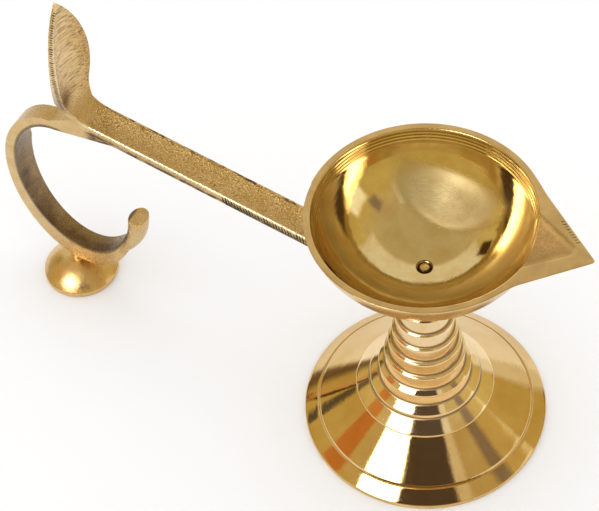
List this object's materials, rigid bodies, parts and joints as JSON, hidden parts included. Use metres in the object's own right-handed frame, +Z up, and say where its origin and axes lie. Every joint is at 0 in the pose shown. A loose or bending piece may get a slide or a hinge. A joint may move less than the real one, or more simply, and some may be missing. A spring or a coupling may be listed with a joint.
{
  "type": "aarti lamp",
  "caption": "Brass oil lamp: spouted bowl on a stepped stem and conical foot, with a long arm handle, thumb leaf and finger hook.",
  "frame": {"origin": "centre of the base ring, on the stem's axis at the floor", "axes": "+X towards the spout with the handle along -X, +Z up along the stem"},
  "size_m": [0.1629, 0.064, 0.1097],
  "materials": {
    "polished_brass": "mirror polished",
    "turned_brass": "satin, with fine turning lines inside",
    "cast_brass": "filed and brushed casting",
    "stud_brass": "riveted end, tarnished",
    "hardware_brass": "plain turned"
  },
  "bodies": {
    "root": {"base_skirt": "polished_brass", "stepped_stem": "polished_brass", "hook_foot": "polished_brass", "oil_bowl": "turned_brass", "handle": "cast_brass", "tie_stud": "stud_brass", "base_washer": "hardware_brass", "base_nut": "hardware_brass"}
  },
  "joints": []
}
